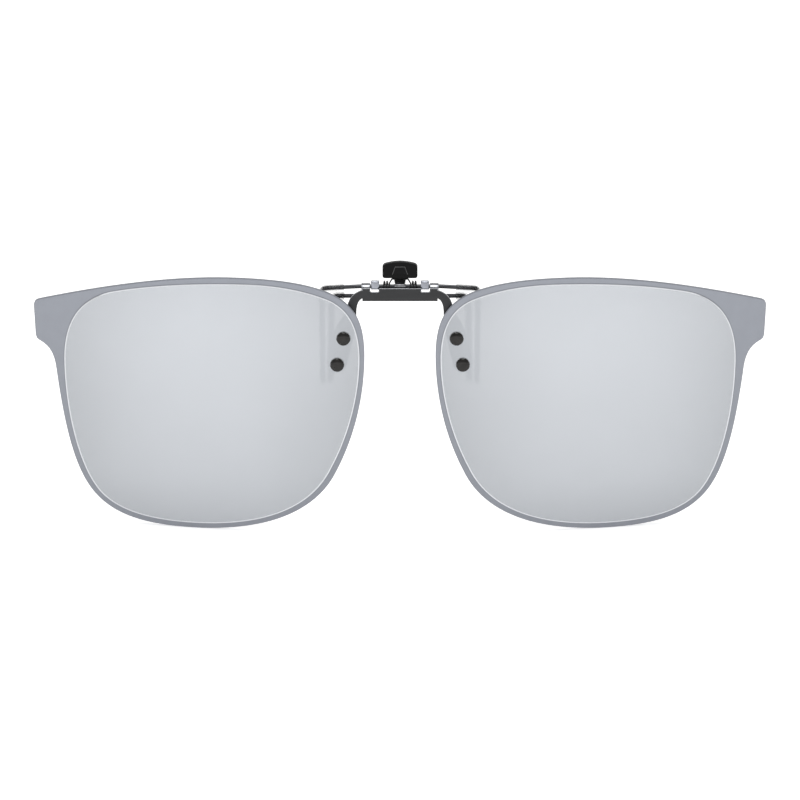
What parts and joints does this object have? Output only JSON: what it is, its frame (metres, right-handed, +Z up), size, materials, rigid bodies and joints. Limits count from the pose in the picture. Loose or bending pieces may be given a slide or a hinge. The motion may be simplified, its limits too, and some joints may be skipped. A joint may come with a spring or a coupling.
{
  "type": "flip-up clip-on sunglasses",
  "caption": "Flip-up clip-on sunglasses: frameless mirrored lenses riveted to a stamped bridge that hinges on a spring clip with wire prongs and a thumb lever.",
  "frame": {"origin": "middle of the underside of the clip body's seat, which rests on the bridge of the spectacles", "axes": "+Z up, -Y out of the front of the lenses, +X to the right as seen from the front"},
  "size_m": [0.146, 0.0179, 0.0552],
  "materials": {
    "lens": "silver mirror coating on a grey polarised lens, with a frosted grey border",
    "plate": "satin gunmetal",
    "steel": "bright nickel-plated steel",
    "lever_steel": "bright steel",
    "wire": "polished dark nickel",
    "spring_steel": "bright drawn spring wire",
    "rivet": "dark gunmetal plating",
    "clear_plastic": "clear nylon",
    "soft_sleeve": "translucent soft silicone",
    "thumb_plastic": "black moulded plastic, fine satin"
  },
  "bodies": {
    "clip": {"clip_body": "steel", "front_prong_wire": "wire", "front_sleeve_left": "soft_sleeve", "front_sleeve_right": "soft_sleeve", "torsion_spring_left": "spring_steel", "torsion_spring_right": "spring_steel"},
    "lever": {"rear_prong_wire": "wire", "lever_plate": "lever_steel", "thumb_pad": "thumb_plastic", "rear_sleeve_left": "soft_sleeve", "rear_sleeve_right": "soft_sleeve"},
    "lens_carrier": {"bridge_plate": "plate", "lens_left": "lens", "lens_right": "lens", "rivet_upper_left": "rivet", "rivet_upper_right": "rivet", "rivet_lower_left": "rivet", "rivet_lower_right": "rivet", "bushing_upper_left": "clear_plastic", "bushing_upper_right": "clear_plastic", "bushing_lower_left": "clear_plastic", "bushing_lower_right": "clear_plastic", "washer_upper_left": "clear_plastic", "washer_upper_right": "clear_plastic", "washer_lower_left": "clear_plastic", "washer_lower_right": "clear_plastic"}
  },
  "joints": [
    {"name": "lens_flip", "type": "hinge", "parent": "clip", "child": "lens_carrier", "pos_m": [0, -0.00082, 0.00265], "axis": [-1, 0, 0], "range_deg": [0, 90]},
    {"name": "lever_squeeze", "type": "hinge", "parent": "clip", "child": "lever", "pos_m": [0, -0.00082, 0.00265], "axis": [1, 0, 0], "range_deg": [0, 10], "stiffness_Nm_per_rad": 0.02, "springref_deg": -11.46, "deforming": ["torsion_spring_left", "torsion_spring_right"]}
  ]
}
